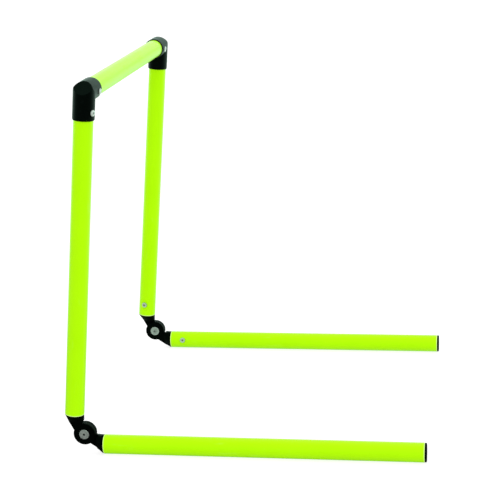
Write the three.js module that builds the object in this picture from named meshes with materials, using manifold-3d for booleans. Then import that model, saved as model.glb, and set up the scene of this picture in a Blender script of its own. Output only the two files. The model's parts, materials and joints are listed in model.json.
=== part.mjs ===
// Folding agility hurdle: two posts and a crossbar of plastic tube, joined by corner elbows, stand on two
// long tube feet. Each foot hangs on a knuckle hinge whose rivet lies beside both tubes, so that the foot
// folds up flat along its post.
// Millimetres, +Z up, floor at z = 0. +X runs along the feet to their free ends, +Y along the crossbar.
// The origin is the middle of the footprint of the whole part, on the floor.
import * as THREE from "three";
import { ConvexGeometry } from "three/addons/geometries/ConvexGeometry.js";
import { mergeVertices } from "three/addons/utils/BufferGeometryUtils.js";
import Module from "manifold-3d";

const wasm = await Module();
wasm.setup();

// ---- driving dimensions ----
const TUBE_R = 12.5; // outer radius of every tube
const TUBE_WALL = 2;
const BAR_LENGTH = 404; // cut lengths
const POST_LENGTH = 407.5;
const FOOT_LENGTH = 414;
const TUBE_CHAMFER = 0.5; // broken outer edge of each cut end
const POST_LEAN = 5.4; // degrees: the posts lean over the feet when the hurdle stands
const GAP = 0.3; // between pieces that touch on the real thing

const ELBOW_R = 14; // outer radius of a socket
const ELBOW_LEG = 34; // corner to rim
const ELBOW_SEAT = 13.6; // corner to the end of the tube in the socket
const ELBOW_BORE = 12.72; // socket's inner radius
const ELBOW_CORE = 10.6; // passage behind the tube stop
const ELBOW_RIM_ROUND = 2; // along the socket; the rim's edge turns in by RIM_IN
const RIM_IN = 1.05;
const CORNER_CUT = 9.2; // flat oval across the outer corner: its distance from the corner
const CORE_CUT = 6.2; // the same cut on the passage inside

const PIVOT_SIDE = 15; // rivet axis beside the tube axis, towards the fold
const PIVOT_ALONG = 25; // rivet axis beyond the tube's end
const EAR_R = 14.4;
const EAR_IN = 0.15; // an ear's inner face, from the hinge's middle plane
const EAR_OUT = 6; // its outer face
const EAR_RIM = 0.35; // raised rim round the outer face
const EAR_RIM_WIDTH = 1.9;
const ARM_SLOPE = 0.652; // the arm's outer edge: sideways per unit along
const COLLAR_R = 12.3;
const COLLAR_T = 0.8; // full-round shoulder against the tube's end
const BLEND_END = 11.5; // tube's end to where the shoulder has narrowed to the flat arm
const BLOCK_END = 9.5; // and to where it stops on the side of the other ear
const BLOCK_EDGE = -3.5; // outer edge of that side's end
const ARM_START = 9; // where the flat arm comes out of the shoulder
const ARM_TOP = 11.7; // the arm's straight edge on the fold side
const PLUG_R = 10.2;
const PLUG_CORE = 7.6;
const PLUG_LENGTH = 27;
const POST_SCREW_ALONG = 18; // post tube's end to its knuckle's screw
const FOOT_SCREW_ALONG = 19.8; // and foot tube's end to its
const POST_SCREW_TURN = -9; // degrees round the tube from the hinge axis, towards the fold is positive
const FOOT_SCREW_TURN = 12;

const RIVET_R = 3;
const RIVET_HOLE_R = 3.05; // running clearance on the rivet
const RIVET_HEAD_R = 6.5;
const RIVET_FACE = 7.9; // middle of the head's domed face, from the hinge's middle plane
const WASHER_R = 6.6;
const WASHER_T = 0.9;
const TAIL_R = 3.6;

const SCREW_HEAD_R = 4;
const SCREW_HEAD_T = 2;
const SCREW_SHANK_R = 1.4;
const SCREW_HOLE_R = 1.7;
const ELBOW_POST_SCREW = 23.6; // elbow's corner to its post screw
const ELBOW_BAR_SCREW = 21; // and to its bar screw
const POST_SIDE_SCREW_TURN = { left: 25, right: 49 }; // elbow's post screw: degrees from the fold side, towards the outside
const BAR_SIDE_SCREW_TURN = -4; // elbow's bar screw: degrees above the fold side

const CAP_R = 12.3;
const CAP_FLANGE = 2.4;
const CAP_PLUG_LENGTH = 14;

// ---- derived frame ----
const LEAN = THREE.MathUtils.degToRad(POST_LEAN);
const UP = new THREE.Vector3(Math.sin(LEAN), 0, Math.cos(LEAN)); // along a post, upwards
const FOLD = new THREE.Vector3(Math.cos(LEAN), 0, -Math.sin(LEAN)); // across a post, towards the feet
const X = new THREE.Vector3(1, 0, 0);
const Y = new THREE.Vector3(0, 1, 0);
const Z = new THREE.Vector3(0, 0, 1);
const POST_SPACING = BAR_LENGTH + 2 * ELBOW_SEAT; // post axis to post axis
const REACH_BACK = // from the rivet axis back to the post tube's lower outer edge
  (PIVOT_SIDE + TUBE_R) * Math.cos(LEAN) -
  (PIVOT_ALONG + TUBE_CHAMFER) * Math.sin(LEAN);
const REACH_FRONT = PIVOT_ALONG + FOOT_LENGTH + 0.2 + CAP_FLANGE; // and forward to the cap's face
const PIVOT_X = (REACH_BACK - REACH_FRONT) / 2;
const PIVOT_Z = TUBE_R + PIVOT_SIDE;

// ---- small helpers ----
const flatten = (geometry) => {
  const g = geometry.index ? geometry.toNonIndexed() : geometry.clone();
  g.deleteAttribute("normal");
  g.deleteAttribute("uv");
  return g;
};

// A closed triangle mesh as a solid; a profile drawn the other way round is turned outwards.
function solid(geometry) {
  const g = mergeVertices(flatten(geometry), 1e-4);
  const make = (tri) =>
    new wasm.Manifold(
      new wasm.Mesh({
        numProp: 3,
        vertProperties: new Float32Array(g.attributes.position.array),
        triVerts: tri,
      }),
    );
  const tri = new Uint32Array(g.index.array);
  const first = make(tri);
  if (first.volume() > 0) return first;
  for (let i = 0; i < tri.length; i += 3)
    [tri[i + 1], tri[i + 2]] = [tri[i + 2], tri[i + 1]];
  return make(tri);
}

function geometryOf(body) {
  const m = body.getMesh();
  const v = new Float32Array(m.numVert * 3);
  for (let i = 0; i < m.numVert; i++)
    v.set(m.vertProperties.subarray(i * m.numProp, i * m.numProp + 3), i * 3);
  const g = new THREE.BufferGeometry();
  g.setAttribute("position", new THREE.BufferAttribute(v, 3));
  g.setIndex(new THREE.BufferAttribute(new Uint32Array(m.triVerts), 1));
  const out = g.toNonIndexed();
  out.computeVertexNormals();
  return out;
}

const basis = (x, y, z, origin) =>
  new THREE.Matrix4().makeBasis(x, y, z).setPosition(origin);

// A right-handed basis whose third axis is the given direction and whose first lies as near as it can to hint.
function along(direction, hint, origin) {
  const z = direction.clone().normalize();
  const x = hint.clone().addScaledVector(z, -hint.dot(z)).normalize();
  const y = new THREE.Vector3().crossVectors(z, x);
  return basis(x, y, z, origin);
}

// A profile of [radius, height] pairs turned about local Z. Flats face the local axes, and a radius is
// measured to the middle of a flat.
function turned(profile, segments, matrix) {
  const k = 1 / Math.cos(Math.PI / segments);
  const pts = profile.map(([r, h]) => new THREE.Vector2(r * k, h));
  const g = new THREE.LatheGeometry(pts, segments, Math.PI / segments);
  g.rotateX(Math.PI / 2);
  if (matrix) g.applyMatrix4(matrix);
  return solid(g);
}

const cylinder = (r, h0, h1, segments, matrix) =>
  turned(
    [
      [0, h0],
      [r, h0],
      [r, h1],
      [0, h1],
    ],
    segments,
    matrix,
  );

// A polygon in the plane of the first two axes of matrix, drawn out along the third from w0 to w1.
function prism(points, w0, w1, matrix, bevel = 0) {
  const shape = new THREE.Shape(points.map(([u, v]) => new THREE.Vector2(u, v)));
  const g = new THREE.ExtrudeGeometry(shape, {
    depth: w1 - w0 - 2 * bevel,
    bevelEnabled: bevel > 0,
    bevelThickness: bevel,
    bevelSize: bevel,
    bevelOffset: -bevel,
    bevelSegments: 1,
    curveSegments: 12,
  });
  g.translate(0, 0, w0 + bevel);
  g.applyMatrix4(matrix);
  return solid(g);
}

const add = (...bodies) => wasm.Manifold.union(bodies);
const circle = (cx, cy, r, n) =>
  Array.from({ length: n }, (_, i) => {
    const a = (2 * Math.PI * (i + 0.5)) / n;
    return [cx + r * Math.cos(a), cy + r * Math.sin(a)];
  });

// ---- materials ----
const neon = () =>
  new THREE.MeshStandardMaterial({ color: 0xb4ff14, roughness: 0.42, metalness: 0 });
const black = () =>
  new THREE.MeshStandardMaterial({ color: 0x0b0d0c, roughness: 0.45, metalness: 0 });
const zinc = () =>
  new THREE.MeshStandardMaterial({ color: 0xb9c2bd, roughness: 0.35, metalness: 0.9 });

const hurdle = new THREE.Group();
hurdle.name = "agility_hurdle";
function piece(name, body, material) {
  const mesh = new THREE.Mesh(geometryOf(body), material());
  mesh.name = name;
  hurdle.add(mesh);
}

// ---- tube: thin-walled, both cut ends lightly broken, from 0 to l along local Z ----
function tube(l, matrix, holes) {
  const r = TUBE_R,
    i = TUBE_R - TUBE_WALL,
    c = TUBE_CHAMFER;
  let body = turned(
    [
      [i, 0],
      [r - c, 0],
      [r, c],
      [r, l - c],
      [r - c, l],
      [i, l],
      [i, 0],
    ],
    48,
    matrix,
  );
  for (const hole of holes) body = body.subtract(hole);
  return body;
}

// A radial frame on a round piece: origin on its axis, local Z pointing out along direction.
const radial = (axisPoint, direction, axisDirection) =>
  along(direction, axisDirection, axisPoint);

const screwHole = (m) => cylinder(SCREW_HOLE_R, 4, 22, 16, m);

// ---- pan-head screw with a cross recess; seat is the radius its head rests on ----
function screw(m, seat, reach) {
  const b = seat + 0.2,
    t = b + SCREW_HEAD_T;
  const body = turned(
    [
      [0, b - reach],
      [SCREW_SHANK_R, b - reach + 2.2],
      [SCREW_SHANK_R, b],
      [SCREW_HEAD_R - 0.2, b],
      [SCREW_HEAD_R, b + 0.35],
      [SCREW_HEAD_R - 0.12, b + 0.95],
      [SCREW_HEAD_R - 0.65, b + 1.5],
      [SCREW_HEAD_R - 1.5, b + 1.85],
      [0, t],
    ],
    24,
    m,
  );
  const bar = (w, l) =>
    prism(
      [
        [-l, -w],
        [l, -w],
        [l, w],
        [-l, w],
      ],
      t - 1.15,
      t + 1,
      m,
    );
  return body.subtract(bar(0.45, 2.15)).subtract(bar(2.15, 0.45));
}

// ---- elbow: two sockets meeting in a mitre, one down the post and one along the bar, with a flat oval cut
// at 45 degrees across the outer corner ----
// Each socket is a ring of columns. A column runs from the bisecting plane over the outside to the rim and
// back through the bore to the bisecting plane; the two sockets share its ends.
function elbow(corner, barDirection, holes) {
  const N = 40,
    k = 1 / Math.cos(Math.PI / N),
    down = UP.clone().negate();
  const rim = [
    [ELBOW_R, ELBOW_LEG - ELBOW_RIM_ROUND],
    [ELBOW_R - 0.13 * RIM_IN, ELBOW_LEG - 0.5 * ELBOW_RIM_ROUND],
    [ELBOW_R - 0.5 * RIM_IN, ELBOW_LEG - 0.13 * ELBOW_RIM_ROUND],
    [ELBOW_R - RIM_IN, ELBOW_LEG],
    [ELBOW_BORE, ELBOW_LEG],
    [ELBOW_BORE, ELBOW_SEAT - GAP],
    [ELBOW_CORE, ELBOW_SEAT - GAP],
  ];
  const positions = [];
  const half = (d, o, flip) => {
    // A point from its offsets: times c towards the other socket, s across both, h along this one.
    const at = (scale, across, c, h) =>
      corner
        .clone()
        .addScaledVector(o, scale * c)
        .addScaledVector(FOLD, across)
        .addScaledVector(d, h);
    const columns = Array.from({ length: N }, (_, i) => {
      const phi = (2 * Math.PI * (i + 0.5)) / N,
        c = Math.cos(phi),
        s = Math.sin(phi);
      // Where a column starts on the bisecting plane, and where it leaves the oval for the socket's side.
      const corner_ = (r, cut) => {
        const w = r * k * c,
          root = Math.SQRT2;
        if (-w * root <= cut) return [at(1, s * r * k, w, w), at(1, s * r * k, w, w)];
        return [
          at(1, s * r * k, -cut / root, -cut / root),
          at(1, s * r * k, w, -w - cut * root),
        ];
      };
      return [
        ...corner_(ELBOW_R, CORNER_CUT),
        ...rim.map(([r, h]) => at(r * k, s * r * k, c, h)),
        ...corner_(ELBOW_CORE, CORE_CUT).reverse(),
      ];
    });
    const triangle = (p, q, r) => {
      if (p.distanceTo(q) < 1e-6 || q.distanceTo(r) < 1e-6 || r.distanceTo(p) < 1e-6)
        return;
      for (const v of flip ? [p, r, q] : [p, q, r]) positions.push(v.x, v.y, v.z);
    };
    columns.forEach((col, i) => {
      const next = columns[(i + 1) % N];
      for (let j = 0; j + 1 < col.length; j++) {
        triangle(col[j], next[j], next[j + 1]);
        triangle(col[j], next[j + 1], col[j + 1]);
      }
    });
  };
  half(down, barDirection, false);
  half(barDirection, down, true);
  const g = new THREE.BufferGeometry();
  g.setAttribute("position", new THREE.Float32BufferAttribute(positions, 3));
  let body = solid(g);
  for (const hole of holes) body = body.subtract(hole);
  return body;
}

// ---- knuckle: hinge half with a plug for its tube, a round shoulder, a tapering arm and a round ear ----
// m maps (side, hinge axis, along the tube away from the hinge) with its origin at the tube's end; the ear
// lies on the side of the middle plane given by ear = +1 or -1.
function knuckle(m, ear, holes) {
  const plane = m.clone().multiply(new THREE.Matrix4().makeRotationX(Math.PI / 2)); // (side, along, -hinge axis)
  const across = m
    .clone()
    .multiply(
      new THREE.Matrix4().makeBasis(Y, Z, X),
    ); // (hinge axis, along, side)
  const lo = ear > 0 ? -EAR_OUT : EAR_IN,
    hi = ear > 0 ? -EAR_IN : EAR_OUT;
  const edge = (s) => -TUBE_R + ARM_SLOPE * s; // outer edge of the arm at distance s beyond the tube
  // Where the arm's straight edges run into the ear.
  const armPoints = [
    [edge(ARM_START), -ARM_START],
    [ARM_TOP, -ARM_START],
    [ARM_TOP, -PIVOT_ALONG + 8],
    [PIVOT_SIDE, -PIVOT_ALONG],
    [edge(23.5), -23.5],
  ];
  const arm = prism(armPoints, lo, hi, plane);
  const disc = prism(
    circle(PIVOT_SIDE, -PIVOT_ALONG, EAR_R / Math.cos(Math.PI / 36), 36),
    lo,
    hi,
    plane,
  );
  const rimLo = ear > 0 ? -EAR_OUT - EAR_RIM : EAR_OUT - 0.5,
    rimHi = ear > 0 ? -EAR_OUT + 0.5 : EAR_OUT + EAR_RIM;
  const rim = prism(
    circle(PIVOT_SIDE, -PIVOT_ALONG, (EAR_R - 0.3) / Math.cos(Math.PI / 36), 36),
    rimLo,
    rimHi,
    plane,
  ).subtract(
    prism(
      circle(PIVOT_SIDE, -PIVOT_ALONG, EAR_R - EAR_RIM_WIDTH, 36),
      rimLo - 1,
      rimHi + 1,
      plane,
    ),
  );
  const plug = turned(
    [
      [0, -1.5],
      [PLUG_R, -1.5],
      [PLUG_R, PLUG_LENGTH - 1],
      [PLUG_R - 0.8, PLUG_LENGTH],
      [PLUG_CORE, PLUG_LENGTH],
      [PLUG_CORE, 4],
      [0, 4],
    ],
    36,
    m,
  );
  // Shoulder: narrows from the tube's round end to the flat arm, and stops short on the other ear's side.
  const shoulder = (outer, inner, lowEdge, end) => {
    const points = [];
    for (const [t, y] of circle(0, 0, COLLAR_R / Math.cos(Math.PI / 36), 36))
      for (const u of [-GAP, -GAP - COLLAR_T]) points.push(new THREE.Vector3(t, y, u));
    for (const t of [lowEdge, ARM_TOP])
      for (const y of [inner * ear, outer * ear])
        points.push(new THREE.Vector3(t, y, -end));
    return solid(new ConvexGeometry(points).applyMatrix4(m));
  };
  const earSide = shoulder(EAR_OUT, EAR_IN, edge(BLEND_END), BLEND_END);
  const otherSide = shoulder(-EAR_OUT, EAR_IN, BLOCK_EDGE, BLOCK_END);
  // The other ear's room: its side of the middle plane beyond the block's end.
  const room = prism(
    [
      [-20 * ear, -BLOCK_END],
      [EAR_IN * ear, -BLOCK_END],
      [EAR_IN * ear, -BLEND_END - 5],
      [-20 * ear, -BLEND_END - 5],
    ],
    -20,
    20,
    across,
  );
  let body = add(add(earSide, otherSide).subtract(room), arm, disc, rim, plug);
  const pinHole = cylinder(
    RIVET_HOLE_R,
    -10,
    10,
    24,
    m
      .clone()
      .multiply(new THREE.Matrix4().makeTranslation(PIVOT_SIDE, 0, -PIVOT_ALONG))
      .multiply(new THREE.Matrix4().makeRotationX(Math.PI / 2)),
  );
  body = body.subtract(pinHole);
  for (const hole of holes) body = body.subtract(hole);
  return body;
}

// ---- end cap: rounded flange over the cut end, hollow plug inside it ----
function cap(m) {
  const g = 0.2,
    f = CAP_FLANGE,
    r = CAP_R;
  return turned(
    [
      [0, g + f],
      [r - 1.1, g + f],
      [r - 0.35, g + f - 0.3],
      [r, g + f - 1],
      [r, g],
      [PLUG_R, g],
      [PLUG_R, -CAP_PLUG_LENGTH + 1],
      [PLUG_R - 0.8, -CAP_PLUG_LENGTH],
      [PLUG_CORE + 0.4, -CAP_PLUG_LENGTH],
      [PLUG_CORE + 0.4, -0.6],
      [0, -0.6],
    ],
    40,
    m,
  );
}

// ---- assembly ----
for (const [side, sign] of [
  ["left", -1],
  ["right", 1],
]) {
  const pivot = new THREE.Vector3(PIVOT_X, (sign * POST_SPACING) / 2, PIVOT_Z);
  const outward = Y.clone().multiplyScalar(sign),
    inward = Y.clone().multiplyScalar(-sign);

  // Post: its tube's lower end, and the corner of the elbow at its top.
  const postEnd = pivot
    .clone()
    .addScaledVector(UP, PIVOT_ALONG)
    .addScaledVector(FOLD, -PIVOT_SIDE);
  const postFrame = basis(FOLD, Y, UP, postEnd);
  const corner = postEnd.clone().addScaledVector(UP, POST_LENGTH + ELBOW_SEAT);

  // Foot: its tube's hinge end. The frame's second axis points the other way, so the same shape of
  // knuckle puts its ear on the other side of the middle plane.
  const footEnd = new THREE.Vector3(PIVOT_X + PIVOT_ALONG, pivot.y, TUBE_R);
  const footFrame = basis(Z, Y.clone().negate(), X, footEnd);

  const turn = (from, to, degrees) => {
    const a = THREE.MathUtils.degToRad(degrees);
    return from
      .clone()
      .multiplyScalar(Math.cos(a))
      .addScaledVector(to, Math.sin(a));
  };

  const postScrew = radial(
    postEnd.clone().addScaledVector(UP, POST_SCREW_ALONG),
    turn(inward, FOLD, POST_SCREW_TURN),
    UP,
  );
  const footScrew = radial(
    footEnd.clone().addScaledVector(X, FOOT_SCREW_ALONG),
    turn(inward, Z, FOOT_SCREW_TURN),
    X,
  );
  const elbowPostScrew = radial(
    corner.clone().addScaledVector(UP, -ELBOW_POST_SCREW),
    turn(FOLD, outward, POST_SIDE_SCREW_TURN[side]),
    UP,
  );
  const elbowBarScrew = radial(
    corner.clone().addScaledVector(inward, ELBOW_BAR_SCREW),
    turn(FOLD, UP, BAR_SIDE_SCREW_TURN),
    Y,
  );

  piece(
    side + "_upright_tube",
    tube(POST_LENGTH, postFrame, [screwHole(postScrew), screwHole(elbowPostScrew)]),
    neon,
  );
  piece(side + "_foot_tube", tube(FOOT_LENGTH, footFrame, [screwHole(footScrew)]), neon);
  piece(
    side + "_elbow",
    elbow(corner, inward, [screwHole(elbowPostScrew), screwHole(elbowBarScrew)]),
    black,
  );
  piece(side + "_elbow_bar_screw", screw(elbowBarScrew, ELBOW_R, 8), zinc);
  piece(side + "_elbow_post_screw", screw(elbowPostScrew, ELBOW_R, 8), zinc);
  piece(side + "_upper_knuckle", knuckle(postFrame, sign, [screwHole(postScrew)]), black);
  piece(side + "_lower_knuckle", knuckle(footFrame, sign, [screwHole(footScrew)]), black);
  piece(side + "_upper_knuckle_screw", screw(postScrew, TUBE_R, 8.5), zinc);
  piece(side + "_lower_knuckle_screw", screw(footScrew, TUBE_R, 8.5), zinc);

  // Rivet: its head on the outer ear, its rolled tail over the washer on the inner ear.
  const rivetFrame = along(outward, FOLD, pivot);
  const under = EAR_OUT + 0.15,
    washerOut = under + WASHER_T;
  piece(
    side + "_pivot_rivet",
    turned(
      [
        [0, -washerOut - 0.15],
        [1.5, -washerOut - 0.15],
        [1.9, -washerOut - 1.05],
        [2.7, -washerOut - 1.3],
        [3.3, -washerOut - 1.15],
        [TAIL_R, -washerOut - 0.7],
        [TAIL_R, -washerOut - 0.15],
        [RIVET_R, -washerOut - 0.1],
        [RIVET_R, under],
        [RIVET_HEAD_R - 0.2, under],
        [RIVET_HEAD_R, under + 0.3],
        [RIVET_HEAD_R, RIVET_FACE - 1],
        [RIVET_HEAD_R - 0.25, RIVET_FACE - 0.65],
        [RIVET_HEAD_R - 0.8, RIVET_FACE - 0.4],
        [3.4, RIVET_FACE - 0.1],
        [1.2, RIVET_FACE],
        [1, RIVET_FACE - 1.2],
        [0, RIVET_FACE - 1.2],
      ],
      24,
      rivetFrame,
    ),
    zinc,
  );
  piece(
    side + "_pivot_washer",
    turned(
      [
        [RIVET_R + 0.1, -under],
        [WASHER_R - 0.15, -under],
        [WASHER_R, -under - 0.15],
        [WASHER_R, -washerOut + 0.2],
        [WASHER_R - 0.2, -washerOut],
        [RIVET_R + 0.1, -washerOut],
        [RIVET_R + 0.1, -under],
      ],
      24,
      rivetFrame,
    ),
    zinc,
  );
  piece(
    side + "_foot_end_cap",
    cap(basis(Z, Y.clone().negate(), X, footEnd.clone().addScaledVector(X, FOOT_LENGTH))),
    black,
  );

  // The crossbar carries one screw hole at each end.
  if (sign > 0) {
    const mirrored = radial(
      corner.clone().setY(-corner.y).addScaledVector(Y, ELBOW_BAR_SCREW),
      turn(FOLD, UP, BAR_SIDE_SCREW_TURN),
      Y,
    );
    const barStart = corner.clone().setY(-BAR_LENGTH / 2);
    piece(
      "crossbar_tube",
      tube(BAR_LENGTH, basis(UP, FOLD, Y, barStart), [screwHole(elbowBarScrew), screwHole(mirrored)]),
      neon,
    );
  }
}

export default hurdle;
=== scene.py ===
"""Looks of the folding agility hurdle: neon plastic tubes, black moulded elbows, hinge knuckles and caps, zinc-plated screws and rivets.

Every piece stands for one CAD node, has that node's size and place, and rides on its body.
Shapes are written in millimetres in a frame of their own and placed by the record's joints and the nodes' boxes.
"""

import json
import math

import bmesh
import bpy
from mathutils import Matrix, Vector
from mathutils.geometry import tessellate_polygon

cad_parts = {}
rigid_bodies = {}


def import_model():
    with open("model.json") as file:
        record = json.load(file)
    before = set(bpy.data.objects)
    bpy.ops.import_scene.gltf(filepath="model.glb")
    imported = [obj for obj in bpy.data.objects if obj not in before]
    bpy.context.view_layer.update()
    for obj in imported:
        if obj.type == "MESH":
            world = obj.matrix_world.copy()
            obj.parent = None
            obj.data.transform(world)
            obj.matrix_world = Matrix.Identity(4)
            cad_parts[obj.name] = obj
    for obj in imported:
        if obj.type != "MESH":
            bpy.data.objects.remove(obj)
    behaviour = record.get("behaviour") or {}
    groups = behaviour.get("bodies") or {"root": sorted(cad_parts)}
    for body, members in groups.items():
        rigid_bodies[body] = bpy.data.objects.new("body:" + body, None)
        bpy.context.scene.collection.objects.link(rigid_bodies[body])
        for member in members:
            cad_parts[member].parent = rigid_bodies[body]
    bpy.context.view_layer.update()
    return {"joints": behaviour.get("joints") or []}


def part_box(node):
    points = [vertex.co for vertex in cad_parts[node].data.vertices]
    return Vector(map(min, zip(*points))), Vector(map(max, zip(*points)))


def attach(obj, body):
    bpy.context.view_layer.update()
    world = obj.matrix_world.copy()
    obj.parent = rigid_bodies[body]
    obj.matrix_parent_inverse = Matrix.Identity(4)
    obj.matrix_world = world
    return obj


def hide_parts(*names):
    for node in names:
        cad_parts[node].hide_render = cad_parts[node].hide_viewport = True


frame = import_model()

MM = 0.001

# ---- sizes, in millimetres, as the CAD has them ----
TUBE_R, TUBE_WALL = 12.5, 2.0
ELBOW_R, ELBOW_LEG, ELBOW_SEAT, ELBOW_BORE, ELBOW_CORE = 14.0, 34.0, 13.6, 12.72, 10.6
RIM_ROUND, RIM_IN = 2.0, 1.05
CORNER_CUT, CORE_CUT = 9.2, 6.2
PIVOT_SIDE, PIVOT_ALONG = 15.0, 25.0
EAR_R, EAR_IN, EAR_OUT, EAR_RIM = 14.4, 0.15, 6.0, 0.35
ARM_SLOPE, ARM_START, ARM_TOP = 0.652, 9.0, 11.7
COLLAR_R, BLEND_END, BLOCK_END, BLOCK_EDGE = 12.3, 11.5, 9.5, -3.5
PLUG_R, PLUG_CORE, PLUG_LENGTH = 10.2, 7.6, 27.0
POST_SCREW_ALONG, FOOT_SCREW_ALONG, POST_SCREW_TURN, FOOT_SCREW_TURN = 18.0, 19.8, -9.0, 12.0
ELBOW_POST_SCREW, ELBOW_BAR_SCREW = 23.6, 21.0
POST_SIDE_SCREW_TURN, BAR_SIDE_SCREW_TURN = {"left": 25.0, "right": 49.0}, -4.0
CAP_R, CAP_FLANGE, CAP_PLUG = 12.3, 2.4, 14.0

# ---- the frame's own geometry ----
JOINTS = {j["name"]: j for j in frame["joints"]}
LEAN = math.radians(90.0 - JOINTS["left_foot_fold"]["range_deg"][1])
UP = Vector((math.sin(LEAN), 0, math.cos(LEAN)))
FOLD = Vector((math.cos(LEAN), 0, -math.sin(LEAN)))
X, Y, Z = Vector((1, 0, 0)), Vector((0, 1, 0)), Vector((0, 0, 1))


def mm_box(node):
    lo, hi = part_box(node)
    return lo / MM, hi / MM


# ---------------------------------------------------------------- mesh code
def placed(x, y, z, origin):
    """Local frame whose axes are x, y and z, in millimetres."""
    return Matrix(
        (
            (x.x, y.x, z.x, origin.x),
            (x.y, y.y, z.y, origin.y),
            (x.z, y.z, z.z, origin.z),
            (0, 0, 0, 1),
        )
    )


def along(direction, hint, origin):
    """Local frame with Z along direction and X as near hint as it can be."""
    z = direction.normalized()
    x = (hint - z * hint.dot(z)).normalized()
    return placed(x, z.cross(x), z, origin)


def turned_from(a, b, degrees):
    t = math.radians(degrees)
    return a * math.cos(t) + b * math.sin(t)


def rounded(points, radii, closed=False, steps=5):
    """A polyline with each corner turned into an arc of its radius."""
    out = []
    n = len(points)
    for i, p in enumerate(points):
        r = radii[i]
        p = Vector(p)
        if r <= 0 or (not closed and i in (0, n - 1)):
            out.append((p.x, p.y))
            continue
        a, b = Vector(points[i - 1]), Vector(points[(i + 1) % n])
        u, v = (a - p).normalized(), (b - p).normalized()
        angle = u.angle(v)
        if angle > math.pi - 1e-3:
            out.append((p.x, p.y))
            continue
        d = min(
            r / math.tan(angle / 2), 0.49 * (a - p).length, 0.49 * (b - p).length
        )
        r = d * math.tan(angle / 2)
        c = p + (u + v).normalized() * (r / math.sin(angle / 2))
        s, e = p + u * d - c, p + v * d - c
        a0 = math.atan2(s.y, s.x)
        da = (math.atan2(e.y, e.x) - a0 + math.pi) % (2 * math.pi) - math.pi
        for k in range(steps + 1):
            t = a0 + da * k / steps
            out.append((c.x + r * math.cos(t), c.y + r * math.sin(t)))
    return out


def add_shell(bm, verts, faces):
    made = [bm.verts.new(v) for v in verts]
    for f in faces:
        corners = []
        for i in f:
            if made[i] not in corners:
                corners.append(made[i])
        if len(corners) > 2:
            bm.faces.new(corners)


def lathe(bm, profile, segments, matrix=None):
    """A profile of (radius, height) turned about local Z. It ends on the axis at both ends, or is a closed loop."""
    loop = Vector(profile[0]) == Vector(profile[-1])
    if loop:
        profile = profile[:-1]
    verts, rings = [], []
    for r, h in profile:
        if r < 1e-6:
            rings.append([len(verts)] * segments)
            verts.append(Vector((0, 0, h)))
        else:
            rings.append(list(range(len(verts), len(verts) + segments)))
            for k in range(segments):
                a = 2 * math.pi * (k + 0.5) / segments
                verts.append(Vector((r * math.cos(a), r * math.sin(a), h)))
    faces = []
    pairs = list(zip(rings, rings[1:] + rings[:1]) if loop else zip(rings, rings[1:]))
    for low, high in pairs:
        for k in range(segments):
            m = (k + 1) % segments
            faces.append((low[k], low[m], high[m], high[k]))
    if matrix is not None:
        verts = [matrix @ v for v in verts]
    add_shell(bm, verts, faces)


def finish_piece(bm, name, matrix, body, node, material, sharp=38, weld=1e-4, marks=None):
    """Turns a bmesh in millimetres into a piece in metres, standing for a CAD node.
    Each point keeps its place in the local frame for the material, and marks gives it more: name to function of that place in millimetres."""
    bmesh.ops.remove_doubles(bm, verts=bm.verts, dist=weld)
    bmesh.ops.dissolve_degenerate(bm, dist=1e-5, edges=bm.edges)
    bmesh.ops.recalc_face_normals(bm, faces=bm.faces)
    bmesh.ops.scale(bm, vec=(MM, MM, MM), verts=bm.verts)
    mesh = bpy.data.meshes.new(name)
    bm.to_mesh(mesh)
    bm.free()
    mesh.shade_smooth()
    mesh.set_sharp_from_angle(angle=math.radians(sharp))
    mesh.materials.append(material)
    local = mesh.attributes.new("local", "FLOAT_VECTOR", "POINT")
    places = [0.0] * (3 * len(mesh.vertices))
    mesh.vertices.foreach_get("co", places)
    local.data.foreach_set("vector", places)
    for mark, measure in (marks or {}).items():
        values = [measure(v.co / MM) for v in mesh.vertices]
        mesh.attributes.new(mark, "FLOAT", "POINT").data.foreach_set("value", values)
    m = matrix.copy()
    m.translation *= MM
    mesh.transform(m)
    mesh.update()
    obj = bpy.data.objects.new(name, mesh)
    bpy.context.scene.collection.objects.link(obj)
    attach(obj, body)
    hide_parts(node)
    return obj


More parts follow.
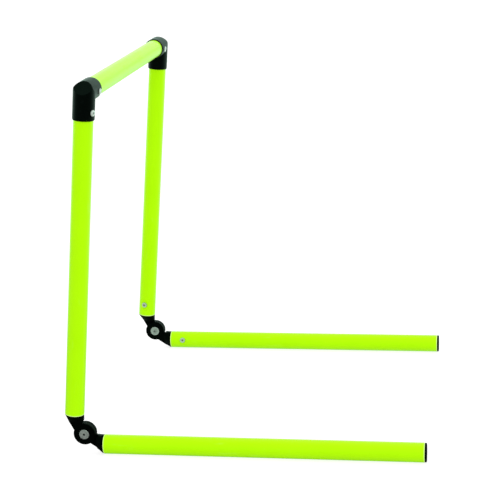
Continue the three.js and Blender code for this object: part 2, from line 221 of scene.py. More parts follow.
# ---------------------------------------------------------------- materials
class Nodes:
    """Short hand for building a node material."""

    def __init__(self, name):
        self.mat = bpy.data.materials.new(name)
        self.mat.use_nodes = True
        self.nt = self.mat.node_tree
        self.bsdf = self.nt.nodes["Principled BSDF"]
        place = self.nt.nodes.new("ShaderNodeAttribute")
        place.attribute_name = "local"
        self.coords = place.outputs["Vector"]

    def put(self, node, key, value):
        if isinstance(value, bpy.types.NodeSocket):
            self.nt.links.new(value, node.inputs[key])
        else:
            node.inputs[key].default_value = value

    def scaled(self, x, y, z):
        n = self.nt.nodes.new("ShaderNodeMapping")
        self.put(n, "Vector", self.coords)
        n.inputs["Scale"].default_value = (x, y, z)
        return n.outputs["Vector"]

    def noise(self, vector, scale, detail=3.0, roughness=0.5):
        n = self.nt.nodes.new("ShaderNodeTexNoise")
        self.put(n, "Vector", vector)
        self.put(n, "Scale", scale)
        self.put(n, "Detail", detail)
        self.put(n, "Roughness", roughness)
        return n.outputs["Fac"]

    def math(self, operation, a, b=0.0, clamp=False):
        n = self.nt.nodes.new("ShaderNodeMath")
        n.operation = operation
        n.use_clamp = clamp
        self.put(n, 0, a)
        self.put(n, 1, b)
        return n.outputs[0]

    def remap(self, value, a, b, c, d):
        n = self.nt.nodes.new("ShaderNodeMapRange")
        self.put(n, "Value", value)
        for key, v in (("From Min", a), ("From Max", b), ("To Min", c), ("To Max", d)):
            self.put(n, key, v)
        return n.outputs["Result"]

    def mix(self, factor, a, b):
        n = self.nt.nodes.new("ShaderNodeMix")
        n.data_type = "RGBA"
        self.put(n, 0, factor)
        for key, v in ((6, a), (7, b)):
            self.put(n, key, (*v, 1.0) if isinstance(v, tuple) else v)
        return n.outputs[2]

    def bump(self, height, distance, strength=1.0, normal=None):
        n = self.nt.nodes.new("ShaderNodeBump")
        self.put(n, "Height", height)
        self.put(n, "Distance", distance)
        self.put(n, "Strength", strength)
        if normal is not None:
            self.put(n, "Normal", normal)
        return n.outputs["Normal"]

    def attribute(self, name):
        n = self.nt.nodes.new("ShaderNodeAttribute")
        n.attribute_name = name
        return n.outputs["Fac"]

    def separate(self, vector):
        n = self.nt.nodes.new("ShaderNodeSeparateXYZ")
        self.put(n, 0, vector)
        return n.outputs


def tube_material():
    """Extruded plastic in neon yellow-green: die lines along the tube, faint handling scuffs, and a painted highlight
    on the sawn ends.
    """
    n = Nodes("neon_tube_plastic")
    streaks = n.noise(n.scaled(1.0, 1.0, 0.012), 900.0, 2.0, 0.55)
    broad = n.noise(n.coords, 14.0, 2.0)
    fine = n.noise(n.coords, 1600.0, 2.0, 0.6)
    scuff = n.remap(n.noise(n.scaled(1.0, 1.0, 0.22), 95.0, 6.0, 0.62), 0.63, 0.74, 0.0, 1.0)
    marks = n.remap(n.noise(n.scaled(0.35, 0.35, 1.6), 150.0, 4.0, 0.7), 0.69, 0.76, 0.0, 1.0)
    worn = n.math("MAXIMUM", scuff, marks, clamp=True)
    colour = n.mix(n.remap(broad, 0.3, 0.7, 0.0, 1.0), (0.438, 0.945, 0.0006), (0.462, 0.985, 0.0012))
    colour = n.mix(n.remap(streaks, 0.35, 0.65, 0.0, 0.22), colour, (0.425, 0.92, 0.0006))
    colour = n.mix(n.math("MULTIPLY", worn, 0.10), colour, (0.62, 1.0, 0.22))
    # Painted highlight: the band at each sawn end is paled towards white, on top of the light its eased edge really
    # catches.
    colour = n.mix(n.math("MULTIPLY", n.attribute("cut"), 0.9), colour, (0.74, 1.0, 0.36))
    n.put(n.bsdf, "Base Color", colour)
    rough = n.remap(broad, 0.3, 0.7, 0.27, 0.33)
    rough = n.math("ADD", rough, n.math("MULTIPLY", worn, 0.13))
    rough = n.math("ADD", rough, n.math("MULTIPLY", n.attribute("cut"), 0.25))
    n.put(n.bsdf, "Roughness", rough)
    n.bsdf.inputs["IOR"].default_value = 1.5
    n.bsdf.inputs["Specular IOR Level"].default_value = 0.4
    n.bsdf.inputs["Specular Tint"].default_value = (0.62, 1.0, 0.1, 1.0)
    first = n.bump(streaks, 0.00003, 0.5)
    n.put(n.bsdf, "Normal", n.bump(fine, 0.000006, 0.5, first))
    return n.mat


def black_material(name="black_fitting_plastic", parting=True, gloss=0.1):
    """Black injection moulding: spark-eroded grain, a fine parting line in the mould's plane, rubbed spots."""
    n = Nodes(name)
    grain = n.noise(n.coords, 2600.0, 3.0, 0.65)
    cells = n.nt.nodes.new("ShaderNodeTexVoronoi")
    n.put(cells, "Vector", n.coords)
    n.put(cells, "Scale", 1900.0)
    broad = n.noise(n.coords, 60.0, 3.0)
    rub = n.remap(n.noise(n.coords, 170.0, 5.0, 0.65), 0.6, 0.75, 0.0, 1.0)
    colour = n.mix(broad, (0.0003, 0.0007, 0.0005), (0.0009, 0.0014, 0.0012))
    colour = n.mix(n.math("MULTIPLY", rub, 0.35), colour, (0.006, 0.008, 0.0075))
    n.put(n.bsdf, "Base Color", colour)
    rough = n.remap(grain, 0.3, 0.7, 0.34, 0.44)
    rough = n.math("SUBTRACT", rough, n.math("MULTIPLY", rub, 0.06))
    n.put(n.bsdf, "Roughness", rough)
    n.bsdf.inputs["IOR"].default_value = 1.5
    n.bsdf.inputs["Specular IOR Level"].default_value = gloss
    # The specular tint paints a green-teal cast into the reflections, standing in for the green cast of the light.
    n.bsdf.inputs["Specular Tint"].default_value = (0.5, 1.0, 0.76, 1.0)
    height = n.math("ADD", grain, n.math("MULTIPLY", cells.outputs["Distance"], 0.5))
    normal = n.bump(height, 0.00002, 0.55)
    if parting:
        x = n.math("ABSOLUTE", n.separate(n.coords)["X"])
        line = n.remap(x, 0.00008, 0.00028, 1.0, 0.0)
        normal = n.bump(line, 0.00012, 0.8, normal)
    n.put(n.bsdf, "Normal", normal)
    return n.mat


def metal_material(name, dark, light, low, high, rings, metallic):
    """Plated steel: cloudy passivated plating, tiny pits, turning marks round the piece's own axis, and painted shade
    in its recesses and round screw heads' feet.
    """
    n = Nodes(name)
    cloud = n.noise(n.coords, 420.0, 4.0, 0.6)
    pits = n.remap(n.noise(n.coords, 2400.0, 3.0, 0.6), 0.28, 0.4, 0.0, 1.0)
    painted_shade = n.attribute("painted_shade")
    colour = n.mix(n.remap(cloud, 0.3, 0.7, 0.0, 1.0), dark, light)
    colour = n.mix(n.math("MULTIPLY", n.math("SUBTRACT", 1.0, pits), 0.25), colour, tuple(v * 0.4 for v in dark))
    # Painted shade: the mark darkens the colour towards black, and the next lines lower the metal and roughen it there.
    colour = n.mix(painted_shade, colour, (0.012, 0.016, 0.012))
    n.put(n.bsdf, "Base Color", colour)
    n.put(n.bsdf, "Metallic", n.remap(painted_shade, 0.0, 1.0, metallic, 0.1))
    rough = n.math("ADD", n.remap(cloud, 0.3, 0.7, high, low), n.math("MULTIPLY", painted_shade, 0.3))
    n.put(n.bsdf, "Roughness", rough)
    s = n.separate(n.coords)
    radius = n.math(
        "SQRT", n.math("ADD", n.math("MULTIPLY", s["X"], s["X"]), n.math("MULTIPLY", s["Y"], s["Y"]))
    )
    wave = n.math("SINE", n.math("MULTIPLY", radius, 2 * math.pi / 0.00042))
    height = n.math("ADD", n.math("MULTIPLY", wave, rings), pits)
    n.put(n.bsdf, "Normal", n.bump(height, 0.000012, 0.6))
    return n.mat


NEON = tube_material()
BLACK = black_material()
BLACK_KNUCKLE = black_material("black_knuckle_plastic", gloss=0.03)
BLACK_CAP = black_material("black_cap_plastic", parting=False)
# All four metals carry a painted green cast in their colours, standing in for the green cast of reflected light; the
# knuckle screws' stronger green is a painted reflection of the neon tubes beside them.
ZINC = metal_material("zinc_plated_screw", (0.60, 0.68, 0.62), (0.78, 0.86, 0.80), 0.24, 0.36, 0.5, 0.45)
RIVET = metal_material("zinc_plated_rivet", (0.27, 0.31, 0.28), (0.48, 0.53, 0.48), 0.34, 0.46, 0.9, 0.6)
KNUCKLE_ZINC = metal_material("zinc_plated_knuckle_screw", (0.46, 0.60, 0.44), (0.66, 0.82, 0.62), 0.24, 0.36, 0.5, 0.4)
WASHER = metal_material("zinc_plated_washer", (0.34, 0.41, 0.35), (0.50, 0.58, 0.51), 0.26, 0.36, 0.4, 0.5)


# ---------------------------------------------------------------- pieces
def tube(name, length, matrix, body):
    """A thin-walled tube from 0 to length along local Z, its sawn ends lightly broken."""
    bm = bmesh.new()
    r, i = TUBE_R, TUBE_R - TUBE_WALL
    bands = 16
    outer = [(r, length * k / bands) for k in range(bands + 1)]
    # The sawn edge is whitened for about a millimetre.
    # A band of painted highlight runs about a millimetre in from each sawn edge; these rings carry it.
    outer[1:1] = [(r, 0.6), (r, 0.9), (r, 1.3)]
    outer[-1:-1] = [(r, length - 1.3), (r, length - 0.9), (r, length - 0.6)]
    inner = [(i, length * k / bands) for k in range(bands, -1, -1)]
    ring = outer + inner
    last = len(outer) - 1
    radii = [0.45 if k in (0, last) else 0.2 if k in (last + 1, len(ring) - 1) else 0.0 for k in range(len(ring))]
    profile = rounded(ring, radii, closed=True, steps=5)
    lathe(bm, profile + [profile[0]], 160)

    # The painted highlight's band: 1 at the sawn end on the outer surface, fading out by about 1.15 mm.
    def sawn(p):
        end = min(p.z, length - p.z)
        return max(0.0, min(1.0, (1.15 - end) / 0.5)) if math.hypot(p.x, p.y) > i - 0.01 else 0.0

    return finish_piece(bm, "piece_" + name, matrix, body, name, NEON, marks={"cut": sawn})


def elbow(name, corner, bar_direction, body):
    """Two sockets meeting in a mitre, with a flat oval across the outer corner, all edges eased.
    Local X is the fold side, Y runs along the bar's socket and Z up the post."""
    n = 112
    bm = bmesh.new()
    root = math.sqrt(2)

    def corner_chain(w, cut, ease):
        """From the bisecting plane to the socket's side, as (towards the other socket, along this one)."""
        steps = 7
        centre = (w + ease, w + ease)
        if -(w + ease) * root + ease > cut:
            centre = (w + ease, -root * cut + root * ease - w - ease)
            out = [(-cut / root, -cut / root)]
        else:
            a = math.radians(45)
            out = [(centre[0] - ease * math.cos(a), centre[1] - ease * math.sin(a))]
        for k in range(steps + 1):
            a = math.radians(45 * (1 - k / steps))
            out.append((centre[0] - ease * math.cos(a), centre[1] - ease * math.sin(a)))
        return out

    rim = []
    for k in range(9):
        a = math.radians(90 * k / 8)
        rim.append(
            (ELBOW_R - RIM_IN * (1 - math.cos(a)), ELBOW_LEG - RIM_ROUND * (1 - math.sin(a)))
        )
    # Extra rings along each socket's plain side, up to where the rim's round begins.
    side = [(ELBOW_R, 18.0), (ELBOW_R, 24.0), (ELBOW_R, ELBOW_LEG - RIM_ROUND - 1.2)]
    inside = [
        (ELBOW_BORE + 0.08, ELBOW_LEG),
        (ELBOW_BORE, ELBOW_LEG - 0.15),
        (ELBOW_BORE, ELBOW_SEAT - 0.3),
        (ELBOW_CORE, ELBOW_SEAT - 0.3),
    ]
    for first in (True, False):
        columns = []
        for i in range(n):
            phi = 2 * math.pi * (i + 0.5) / n
            c, s = math.cos(phi), math.sin(phi)
            ease = 1.1 + 0.5 * c
            chain = [(o, ELBOW_R * s, d) for o, d in corner_chain(ELBOW_R * c, CORNER_CUT, ease)]
            chain += [(r * c, r * s, h) for r, h in side + rim + inside]
            chain += [
                (o, ELBOW_CORE * s, d)
                for o, d in reversed(corner_chain(ELBOW_CORE * c, CORE_CUT, 0.4))
            ]
            columns.append(
                [Vector((a, o, -d)) if first else Vector((a, d, -o)) for o, a, d in chain]
            )
        verts = [v for col in columns for v in col]
        m = len(columns[0])
        faces = [
            (i * m + j, ((i + 1) % n) * m + j, ((i + 1) % n) * m + j + 1, i * m + j + 1)
            for i in range(n)
            for j in range(m - 1)
        ]
        add_shell(bm, verts, faces)
    matrix = placed(FOLD, bar_direction, UP, corner)
    return finish_piece(bm, "piece_" + name, matrix, body, name, BLACK, sharp=42, weld=2e-3)


def plate(bm, outline, hole, lo, hi, ease_lo, ease_hi, to3):
    """A flat plate drawn from lo to hi: outline and a round hole, with its outer edges eased. The first point of outline follows its last."""
    pts = [Vector(p) for p in outline]
    n = len(pts)
    area = sum(pts[i - 1].x * pts[i].y - pts[i].x * pts[i - 1].y for i in range(n))
    if area < 0:
        pts.reverse()
    normals = []
    for i in range(n):
        t = (pts[(i + 1) % n] - pts[i - 1]).normalized()
        normals.append(Vector((t.y, -t.x)))
    rings = []

    def ring(inset, h):
        rings.append([to3(p.x - q.x * inset, p.y - q.y * inset, h) for p, q in zip(pts, normals)])

    steps = 4
    ring(ease_lo + 0.15, lo)
    for k in range(steps + 1):
        a = math.radians(90 * k / steps)
        ring(ease_lo * (1 - math.sin(a)), lo + ease_lo * (1 - math.cos(a)))
    for k in range(steps + 1):
        a = math.radians(90 * k / steps)
        ring(ease_hi * (1 - math.cos(a)), hi - ease_hi * (1 - math.sin(a)))
    ring(ease_hi + 0.15, hi)
    verts = [v for r in rings for v in r]
    faces = [
        (j * n + i, j * n + (i + 1) % n, (j + 1) * n + (i + 1) % n, (j + 1) * n + i)
        for j in range(len(rings) - 1)
        for i in range(n)
    ]
    (cx, cy), r = hole
    k = 72
    circle = [
        (cx + r * math.cos(2 * math.pi * i / k), cy + r * math.sin(2 * math.pi * i / k))
        for i in range(k)
    ]
    base = len(verts)
    verts += [to3(x, y, lo) for x, y in circle] + [to3(x, y, hi) for x, y in circle]
    faces += [(base + i, base + (i + 1) % k, base + k + (i + 1) % k, base + k + i) for i in range(k)]
    for inset, start, h_ring in ((ease_lo + 0.15, 0, base), (ease_hi + 0.15, (len(rings) - 1) * n, base + k)):
        outer = [Vector((p.x - q.x * inset, p.y - q.y * inset, 0)) for p, q in zip(pts, normals)]
        inner = [Vector((x, y, 0)) for x, y in circle]
        index = [start + i for i in range(n)] + [h_ring + i for i in range(k)]
        for tri in tessellate_polygon([outer, inner]):
            faces.append(tuple(index[t] for t in tri))
    add_shell(bm, verts, faces)


def ear_outline(edge):
    """Arm and ear as one outline of (side, along), with both inner corners filleted."""
    centre = Vector((PIVOT_SIDE, PIVOT_ALONG))
    f = 1.0
    # Fold side: the straight edge at ARM_TOP.
    top_centre = Vector(
        (ARM_TOP + f, PIVOT_ALONG - math.sqrt((EAR_R + f) ** 2 - (PIVOT_SIDE - ARM_TOP - f) ** 2))
    )
    # Outer side: the slanting edge.
    k = math.hypot(1, ARM_SLOPE)
    normal = Vector((-1 / k, ARM_SLOPE / k))
    line = Vector((ARM_SLOPE / k, 1 / k))
    d = (PIVOT_SIDE + TUBE_R - ARM_SLOPE * PIVOT_ALONG) / k
    low_centre = centre + normal * (d + f) - line * math.sqrt((EAR_R + f) ** 2 - (d + f) ** 2)

    def arc(c, r, start, end, steps, turn):
        a0, a1 = math.atan2(*(start - c).yx), math.atan2(*(end - c).yx)
        if turn > 0:
            while a1 <= a0:
                a1 += 2 * math.pi
        else:
            while a1 >= a0:
                a1 -= 2 * math.pi
        return [
            (c.x + r * math.cos(a0 + (a1 - a0) * i / steps), c.y + r * math.sin(a0 + (a1 - a0) * i / steps))
            for i in range(steps + 1)
        ]

    t1 = Vector((ARM_TOP, top_centre.y))
    t2 = centre + (top_centre - centre).normalized() * EAR_R
    t3 = centre + (low_centre - centre).normalized() * EAR_R
    t4 = low_centre - normal * f
    out = [(ARM_TOP, ARM_START - 2.0)]
    out += arc(top_centre, f, t1, t2, 6, -1)
    out += arc(centre, EAR_R, t2, t3, 110, 1)[1:-1]
    out += arc(low_centre, f, t3, t4, 6, -1)
    out += [(edge(ARM_START), ARM_START)]
    return out


def eased_hull(points, ease, keep=None):
    """Convex hull of points with its sharp edges bevelled, as (vertices, faces)."""
    b = bmesh.new()
    for p in points:
        b.verts.new(p)
    made = bmesh.ops.convex_hull(b, input=b.verts)
    loose = [v for v in made.get("geom_interior", []) + made.get("geom_unused", []) if isinstance(v, bmesh.types.BMVert)]
    bmesh.ops.delete(b, geom=list(set(loose)), context="VERTS")
    if keep is not None:
        co, no = keep
        bmesh.ops.bisect_plane(
            b, geom=list(b.verts) + list(b.edges) + list(b.faces), plane_co=co, plane_no=no, clear_outer=True
        )
        open_edges = [e for e in b.edges if e.is_boundary]
        if open_edges:
            bmesh.ops.holes_fill(b, edges=open_edges, sides=0)
    bmesh.ops.dissolve_limit(b, angle_limit=math.radians(0.5), verts=b.verts, edges=b.edges)
    bmesh.ops.recalc_face_normals(b, faces=b.faces)
    sharp = [e for e in b.edges if len(e.link_faces) == 2 and e.calc_face_angle(0) > math.radians(22)]
    bmesh.ops.bevel(
        b, geom=sharp, offset=ease, offset_type="OFFSET", segments=3, profile=0.5, affect="EDGES", clamp_overlap=True
    )
    b.verts.index_update()
    verts = [v.co.copy() for v in b.verts]
    faces = [tuple(v.index for v in f.verts) for f in b.faces]
    b.free()
    return verts, faces


def knuckle(name, matrix, ear, body):
    """Hinge half: plug in the tube, shoulder narrowing to a flat arm, round ear with a raised rim.
    Local X is the fold side, Y the hinge axis, Z along the tube away from the hinge; ear is its side of the middle plane."""
    bm = bmesh.new()

    def edge(s):
        return -TUBE_R + ARM_SLOPE * s

    def to3(t, s, h):
        return Vector((t, h * ear, -s))

    plate(
        bm, ear_outline(edge), ((PIVOT_SIDE, PIVOT_ALONG), 3.1), EAR_IN, EAR_OUT, 0.25, 0.55, to3
    )
    # Raised rim round the ear's outer face.
    ear_frame = (
        Matrix.Translation((PIVOT_SIDE, 0, -PIVOT_ALONG)) @ Matrix.Rotation(-ear * math.pi / 2, 4, "X")
    )
    rim = rounded(
        [(12.2, EAR_OUT - 0.6), (12.5, EAR_OUT + EAR_RIM), (EAR_R - 0.3, EAR_OUT + EAR_RIM), (EAR_R - 0.2, EAR_OUT - 0.6)],
        [0, 0.3, 0.45, 0],
        steps=4,
    )
    lathe(bm, rim + [rim[0]], 120, ear_frame)
    # A small raised boss round the pin, under the rivet's head or washer.
    boss = rounded(
        [(3.12, EAR_OUT - 0.3), (3.12, EAR_OUT + 0.1), (7.4, EAR_OUT + 0.1), (7.8, EAR_OUT - 0.3)], [0, 0, 0.2, 0], steps=2
    )
    lathe(bm, boss + [boss[0]], 96, ear_frame)
    # Shoulder, in two convex bodies: the ear's side runs further than the other ear's side.
    disc = 96

    def ring_points(r, u):
        return [
            Vector((r * math.cos(2 * math.pi * k / disc), r * math.sin(2 * math.pi * k / disc), u)) for k in range(disc)
        ]

    near = ring_points(COLLAR_R, -0.3) + ring_points(COLLAR_R, -1.1)
    near += [Vector((t, y * ear, -BLEND_END)) for t in (edge(BLEND_END), ARM_TOP) for y in (EAR_IN, EAR_OUT)]
    add_shell(bm, *eased_hull(near, 0.45, (Vector((0, (EAR_IN + 0.02) * ear, 0)), Vector((0, -ear, 0)))))
    far = ring_points(COLLAR_R - 0.03, -0.33) + ring_points(COLLAR_R - 0.03, -1.1)
    far += [
        Vector((BLOCK_EDGE, -EAR_OUT * ear, -BLOCK_END)),
        Vector((-6.2, (EAR_IN + 0.3) * ear, -BLOCK_END)),
        Vector((ARM_TOP, -EAR_OUT * ear, -BLOCK_END)),
        Vector((ARM_TOP, (EAR_IN + 0.3) * ear, -BLOCK_END)),
    ]
    add_shell(bm, *eased_hull(far, 0.45))
    plug = [
        (0, -1.0), (PLUG_R, -1.0), (PLUG_R, PLUG_LENGTH - 1), (PLUG_R - 0.8, PLUG_LENGTH),
        (PLUG_CORE, PLUG_LENGTH), (PLUG_CORE, 4), (0, 4),
    ]
    lathe(bm, plug, 72)
    return finish_piece(bm, "piece_" + name, matrix, body, name, BLACK_KNUCKLE, sharp=30)


def cap(name, matrix, body):
    """End cap: rounded flange with a shallow dished face, and its plug in the tube."""
    bm = bmesh.new()
    top = 0.2 + CAP_FLANGE
    profile = [
        (0, top - 0.35), (1.0, top - 0.35), (1.25, top - 0.15), (8.3, top - 0.15), (8.7, top - 0.45), (9.3, top - 0.45), (9.7, top),
        (CAP_R, top), (CAP_R, 0.2), (PLUG_R, 0.2), (PLUG_R, 1 - CAP_PLUG), (PLUG_R - 0.8, -CAP_PLUG),
        (PLUG_CORE + 0.4, -CAP_PLUG), (PLUG_CORE + 0.4, -0.6), (0, -0.6),
    ]
    radii = [0, 0.12, 0.12, 0.15, 0.15, 0.15, 0.2, 1.1, 0.2, 0, 0, 0, 0, 0, 0]
    lathe(bm, rounded(profile, radii, steps=5), 120)
    return finish_piece(bm, "piece_" + name, matrix, body, name, BLACK_CAP, sharp=40)


def screw(name, matrix, seat, body, metal=ZINC, painted_foot_shade=0.0):
    """Pan-head screw with a tapered cross recess; local Z points out of the tube. The last argument is painted shade on
    the head's foot, round its rim.
    """
    base, top = seat + 0.2, seat + 2.2
    bm = bmesh.new()
    head = [
        (0, base - 6.0), (0.5, base - 5.4), (1.4, base - 4.4), (1.4, base), (3.8, base), (4.0, base + 0.35),
        (3.93, base + 0.85), (3.6, base + 1.35), (3.0, base + 1.7), (2.1, base + 1.9), (1.0, top - 0.02), (0, top),
    ]
    profile = rounded(head, [0, 0, 0, 0, 0.15, 0.3, 0.5, 0.5, 0.8, 1.0, 0, 0], steps=3)
    outside = profile[max(range(len(profile)), key=lambda k: profile[k][0]) :]
    lathe(bm, profile, 72)
    bmesh.ops.remove_doubles(bm, verts=bm.verts, dist=1e-4)
    bmesh.ops.recalc_face_normals(bm, faces=bm.faces)
    body_mesh = bpy.data.meshes.new("screw_body")
    bm.to_mesh(body_mesh)
    bm.free()
    cross = bmesh.new()
    for turn in (0, 90):
        rows = []
        for depth, length, width in ((top - 1.35, 0.95, 0.28), (top - 0.35, 1.95, 0.46), (top + 1.0, 2.6, 0.6)):
            rows.append([Vector((sx * length, sy * width, depth)) for sx, sy in ((-1, -1), (1, -1), (1, 1), (-1, 1))])
        rot = Matrix.Rotation(math.radians(turn + 20), 3, "Z")
        verts = [rot @ v for r in rows for v in r]
        faces = [(3, 2, 1, 0), (8, 9, 10, 11)]
        for j in (0, 4):
            faces += [(j + i, j + (i + 1) % 4, j + 4 + (i + 1) % 4, j + 4 + i) for i in range(4)]
        b = bmesh.new()
        add_shell(b, verts, faces)
        bmesh.ops.recalc_face_normals(b, faces=b.faces)
        m = bpy.data.meshes.new("recess")
        b.to_mesh(m)
        b.free()
        cross.from_mesh(m)
        bpy.data.meshes.remove(m)
    cross_mesh = bpy.data.meshes.new("recess_both")
    cross.to_mesh(cross_mesh)
    cross.free()
    a, b = bpy.data.objects.new("tmp_head", body_mesh), bpy.data.objects.new("tmp_cross", cross_mesh)
    for o in (a, b):
        bpy.context.scene.collection.objects.link(o)
    cutter = a.modifiers.new("cut", "BOOLEAN")
    cutter.operation, cutter.object, cutter.solver, cutter.use_self = "DIFFERENCE", b, "EXACT", True
    done = bpy.data.meshes.new_from_object(a.evaluated_get(bpy.context.evaluated_depsgraph_get()))
    out = bmesh.new()
    out.from_mesh(done)
    for o in (a, b):
        bpy.data.objects.remove(o)
    for m in (done, body_mesh, cross_mesh):
        bpy.data.meshes.remove(m)

    def painted_shade(p):
        """Painted shade: 1 in the recess, the foot shade round the head's rim, 0 elsewhere on the head's outside."""
        r = math.hypot(p.x, p.y)
        dome = next((b + (a - b) * (r - rb) / (ra - rb) for (ra, a), (rb, b) in zip(outside, outside[1:]) if rb <= r <= ra), base)
        # Painted shade round the head's foot, as strong as the last argument.
        if r > 3.75:
            return painted_foot_shade
        return max(0.0, min(1.0, (dome - 0.12 - p.z) / 0.5)) if r < 2.9 and p.z > base else 0.0

    return finish_piece(out, "piece_" + name, matrix, body, name, metal, sharp=40, marks={"painted_shade": painted_shade})


def rivet(name, matrix, body):
    """Semi-tubular rivet: flat head with a drilled centre, tail rolled out over the washer."""
    bm = bmesh.new()
    under, face = EAR_OUT + 0.15, 7.9
    tail = -(under + 0.9)
    profile = [
        (0, tail + 0.9), (1.5, tail + 0.8), (1.7, tail - 0.75), (2.7, tail - 1.32), (3.6, tail - 0.95), (3.6, tail - 0.08),
        (2.98, tail - 0.06), (2.98, under), (6.35, under), (6.5, under + 0.25), (6.5, face - 0.85), (5.9, face - 0.45),
        (3.5, face - 0.1), (1.8, face), (1.55, face - 0.1), (1.4, face - 1.15), (0, face - 1.2),
    ]
    radii = [0, 0.3, 0.5, 0.8, 0.5, 0.2, 0, 0, 0.1, 0.15, 0.5, 1.2, 6.0, 0.1, 0.1, 0.1, 0]
    lathe(bm, rounded(profile, radii, steps=5), 96)

    # Painted shade in the drilled centre, full from a quarter millimetre under the face downwards.
    def painted_shade(p):
        r = math.hypot(p.x, p.y)
        in_hole = r < 1.75 and p.z > 0 and p.z < face - 0.05
        return max(0.0, min(1.0, (face - 0.05 - p.z) / 0.2)) if in_hole else 0.0

    return finish_piece(bm, "piece_" + name, matrix, body, name, RIVET, sharp=40, marks={"painted_shade": painted_shade})


def washer(name, matrix, body):
    bm = bmesh.new()
    under = EAR_OUT + 0.15
    inner = 3.1
    profile = rounded(
        [(inner, -under), (6.6, -under), (6.6, -under - 0.9), (inner, -under - 0.9)], [0.1, 0.15, 0.35, 0.12], closed=True, steps=4
    )
    lathe(bm, profile + [profile[0]], 96)
    return finish_piece(bm, "piece_" + name, matrix, body, name, WASHER, sharp=40)


# ---------------------------------------------------------------- assembly
bar_lo, bar_hi = mm_box("crossbar_tube")
bar_centre = (bar_lo + bar_hi) / 2
bar_length = bar_hi.y - bar_lo.y
corners = {}
for side, sign in (("left", -1), ("right", 1)):
    joint = JOINTS[side + "_foot_fold"]
    pivot = Vector(joint["pos_m"]) / MM
    outward, inward = Y * sign, Y * -sign
    corner = Vector((bar_centre.x, pivot.y, bar_centre.z))
    corners[side] = corner
    post_end = pivot + UP * PIVOT_ALONG - FOLD * PIVOT_SIDE
    post_length = (corner - post_end).length - ELBOW_SEAT
    post_frame = placed(FOLD, Y, UP, post_end)
    foot_lo, foot_hi = mm_box(side + "_foot_tube")
    foot_end = Vector((foot_lo.x, pivot.y, (foot_lo.z + foot_hi.z) / 2))
    foot_length = foot_hi.x - foot_lo.x
    foot_frame = placed(Z, -Y, X, foot_end)
    foot = joint["child"]
    stand = joint["parent"]

    tube(side + "_upright_tube", post_length, post_frame, stand)
    tube(side + "_foot_tube", foot_length, foot_frame, foot)
    elbow(side + "_elbow", corner, inward, stand)
    knuckle(side + "_upper_knuckle", post_frame, sign, stand)
    knuckle(side + "_lower_knuckle", foot_frame, sign, foot)
    cap(side + "_foot_end_cap", placed(Z, -Y, X, foot_end + X * foot_length), foot)

    # Both knuckle screws get 0.8 of painted shade round the head's foot.
    screw(
        side + "_upper_knuckle_screw",
        along(turned_from(inward, FOLD, POST_SCREW_TURN), UP, post_end + UP * POST_SCREW_ALONG),
        TUBE_R,
        stand,
        KNUCKLE_ZINC,
        0.8,
    )
    screw(
        side + "_lower_knuckle_screw",
        along(turned_from(inward, Z, FOOT_SCREW_TURN), X, foot_end + X * FOOT_SCREW_ALONG),
        TUBE_R,
        foot,
        KNUCKLE_ZINC,
        0.8,
    )
    screw(
        side + "_elbow_post_screw",
        along(turned_from(FOLD, outward, POST_SIDE_SCREW_TURN[side]), UP, corner - UP * ELBOW_POST_SCREW),
        ELBOW_R,
        stand,
    )
    screw(
        side + "_elbow_bar_screw",
        along(turned_from(FOLD, UP, BAR_SIDE_SCREW_TURN), Y, corner + inward * ELBOW_BAR_SCREW),
        ELBOW_R,
        stand,
    )
    rivet_frame = along(outward, FOLD, pivot)
    rivet(side + "_pivot_rivet", rivet_frame, stand)
    washer(side + "_pivot_washer", rivet_frame, stand)

tube(
    "crossbar_tube",
    bar_length,
    placed(UP, FOLD, Y, Vector((bar_centre.x, bar_lo.y, bar_centre.z))),
    "frame",
)


# ---------------------------------------------------------------- stage, light and camera
GLOSS_TINT = (0.70, 1.0, 0.85, 1.0)  # a faint green cast in all reflections
FLOOR_MATT = 0.50  # the floor's own light on matt surfaces
FLOOR_GLOSS = (-0.35, 0.9, 0.06, 1.34)  # in reflections: from y, to y, and its light at each
ROOM_GLOSS = (-0.9, 0.75, 0.07, 1.95, 0.66)  # the same by direction near the horizon, and its light overhead
ROOM_MATT = (1.30, 1.30)  # the room's light on matt surfaces, low and high
ROOM_LEFT = 0.35  # how much dimmer the room is on the left


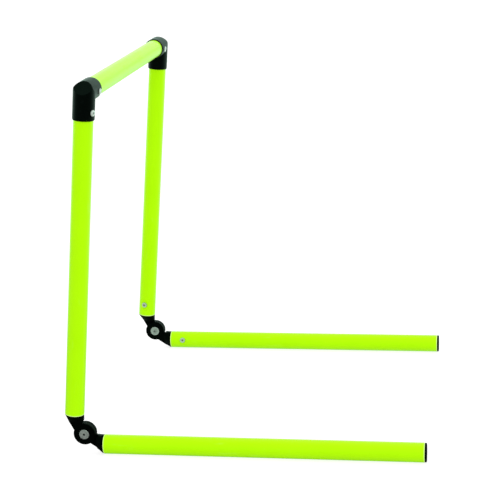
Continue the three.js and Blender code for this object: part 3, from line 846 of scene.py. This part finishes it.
def stage_floor():
    """Pale sweep. It is bright of itself, so that it stays white, and takes a faint contact shadow. In reflections it is dimmer in front of the hurdle, towards the dark side of the room."""
    mesh = bpy.data.meshes.new("floor")
    h = 40.0
    mesh.from_pydata([(-h, -h, 0), (h, -h, 0), (h, h, 0), (-h, h, 0)], [], [(0, 1, 2, 3)])
    floor = bpy.data.objects.new("floor", mesh)
    floor.location.z = -0.0004
    bpy.context.scene.collection.objects.link(floor)
    mat = bpy.data.materials.new("pale_floor")
    mat.use_nodes = True
    nt = mat.node_tree
    nt.nodes.clear()

    def join(op, a, b):
        n = nt.nodes.new("ShaderNodeMath")
        n.operation = op
        for k, v in enumerate((a, b)):
            if isinstance(v, float):
                n.inputs[k].default_value = v
            else:
                nt.links.new(v, n.inputs[k])
        return n.outputs[0]

    def remap(value, a, b, c, d, smooth=False):
        n = nt.nodes.new("ShaderNodeMapRange")
        if smooth:
            n.interpolation_type = "SMOOTHSTEP"
        nt.links.new(value, n.inputs["Value"])
        for key, v in (("From Min", a), ("From Max", b), ("To Min", c), ("To Max", d)):
            n.inputs[key].default_value = v
        return n.outputs["Result"]

    out = nt.nodes.new("ShaderNodeOutputMaterial")
    path = nt.nodes.new("ShaderNodeLightPath")
    camera, glossy = path.outputs["Is Camera Ray"], path.outputs["Is Glossy Ray"]
    coords = nt.nodes.new("ShaderNodeTexCoord")
    noise = nt.nodes.new("ShaderNodeTexNoise")
    noise.inputs["Scale"].default_value = 40.0
    nt.links.new(coords.outputs["Object"], noise.inputs["Vector"])
    place = nt.nodes.new("ShaderNodeSeparateXYZ")
    nt.links.new(coords.outputs["Object"], place.inputs[0])
    grey = join("MULTIPLY", remap(noise.outputs["Fac"], 0.0, 1.0, 0.30, 0.33), remap(glossy, 0.0, 1.0, 1.0, 0.2))
    diffuse = nt.nodes.new("ShaderNodeBsdfDiffuse")
    nt.links.new(grey, diffuse.inputs["Color"])
    glow = nt.nodes.new("ShaderNodeEmission")
    tint = nt.nodes.new("ShaderNodeMix")
    tint.data_type = "RGBA"
    nt.links.new(glossy, tint.inputs[0])
    tint.inputs[6].default_value = (1, 1, 1, 1)
    tint.inputs[7].default_value = GLOSS_TINT
    nt.links.new(tint.outputs[2], glow.inputs["Color"])
    shine = remap(place.outputs["Y"], FLOOR_GLOSS[0], FLOOR_GLOSS[1], FLOOR_GLOSS[2], FLOOR_GLOSS[3], smooth=True)
    strength = join("ADD", remap(camera, 0.0, 1.0, FLOOR_MATT, 0.80), join("MULTIPLY", glossy, join("SUBTRACT", shine, FLOOR_MATT)))
    nt.links.new(strength, glow.inputs["Strength"])
    both = nt.nodes.new("ShaderNodeAddShader")
    nt.links.new(diffuse.outputs[0], both.inputs[0])
    nt.links.new(glow.outputs[0], both.inputs[1])
    nt.links.new(both.outputs[0], out.inputs["Surface"])
    mesh.materials.append(mat)


def studio_world():
    """A white room: even light on matt surfaces, and for reflections bright behind and above and dimmer in front."""
    world = bpy.data.worlds.new("studio")
    world.use_nodes = True
    nt = world.node_tree
    nt.nodes.clear()
    out = nt.nodes.new("ShaderNodeOutputWorld")
    path = nt.nodes.new("ShaderNodeLightPath")
    coords = nt.nodes.new("ShaderNodeTexCoord")
    split = nt.nodes.new("ShaderNodeSeparateXYZ")
    nt.links.new(coords.outputs["Generated"], split.inputs[0])

    def remap(value, a, b, c, d):
        n = nt.nodes.new("ShaderNodeMapRange")
        n.interpolation_type = "SMOOTHSTEP"
        nt.links.new(value, n.inputs["Value"])
        for key, v in (("From Min", a), ("From Max", b), ("To Min", c), ("To Max", d)):
            n.inputs[key].default_value = v
        return n.outputs["Result"]

    def join(op, a, b):
        n = nt.nodes.new("ShaderNodeMath")
        n.operation = op
        for k, v in enumerate((a, b)):
            if isinstance(v, float):
                n.inputs[k].default_value = v
            else:
                nt.links.new(v, n.inputs[k])
        return n.outputs[0]

    def background(value, colour=(1, 1, 1, 1)):
        n = nt.nodes.new("ShaderNodeBackground")
        n.inputs["Color"].default_value = colour
        if isinstance(value, float):
            n.inputs["Strength"].default_value = value
        else:
            nt.links.new(value, n.inputs["Strength"])
        return n.outputs[0]

    def choose(factor, a, b):
        n = nt.nodes.new("ShaderNodeMixShader")
        nt.links.new(factor, n.inputs[0])
        nt.links.new(a, n.inputs[1])
        nt.links.new(b, n.inputs[2])
        return n.outputs[0]

    behind = remap(split.outputs["Y"], ROOM_GLOSS[0], ROOM_GLOSS[1], ROOM_GLOSS[2], ROOM_GLOSS[3])
    low = remap(split.outputs["Z"], 0.12, 0.42, 1.0, 0.0)
    above = remap(split.outputs["Z"], 0.0, 0.45, 0.0, ROOM_GLOSS[4])
    right = remap(split.outputs["X"], 0.08, 0.3, 1.0, 0.4)
    gloss = background(join("ADD", join("MULTIPLY", join("MULTIPLY", behind, low), right), above), GLOSS_TINT)
    up = remap(split.outputs["Z"], -0.1, 0.9, ROOM_MATT[0], ROOM_MATT[1])
    matt = background(join("ADD", up, remap(split.outputs["X"], -1.0, 0.3, -ROOM_LEFT, 0.0)))
    seen = background(0.993)
    both = choose(path.outputs["Is Glossy Ray"], matt, gloss)
    both = choose(path.outputs["Is Camera Ray"], both, seen)
    nt.links.new(both, out.inputs["Surface"])
    bpy.context.scene.world = world


def photo_camera():
    """Camera at the picture's angle: yaw, pitch and roll in degrees, place in metres, focal length in pixels of a 500-pixel frame."""
    yaw, pitch, roll = (math.radians(a) for a in (-9.3442, 14.9438, 2.0562))
    place, focal = Vector((0.31212, -2.00856, 0.75989)), 1522.18
    forward = Vector((math.sin(yaw) * math.cos(pitch), math.cos(yaw) * math.cos(pitch), -math.sin(pitch)))
    right = forward.cross(Z).normalized()
    down = forward.cross(right)
    across = right * math.cos(roll) + down * math.sin(roll)
    below = down * math.cos(roll) - right * math.sin(roll)
    data = bpy.data.cameras.new("camera")
    data.sensor_width = 36.0
    data.lens = 36.0 * focal / 500.0
    data.clip_start, data.clip_end = 0.05, 100.0
    cam = bpy.data.objects.new("camera", data)
    bpy.context.scene.collection.objects.link(cam)
    cam.matrix_world = placed(across, -below, -forward, place)
    bpy.context.scene.camera = cam


stage_floor()
studio_world()
photo_camera()

softbox = bpy.data.lights.new("overhead_softbox", "AREA")
softbox.shape, softbox.size, softbox.size_y, softbox.energy = "RECTANGLE", 1.8, 1.8, 4.0
light = bpy.data.objects.new("overhead_softbox", softbox)
light.location = (0.1, 0.3, 2.2)
light.visible_glossy = False
bpy.context.scene.collection.objects.link(light)

bpy.context.scene.view_settings.view_transform = "Standard"
bpy.context.scene.view_settings.look = "None"
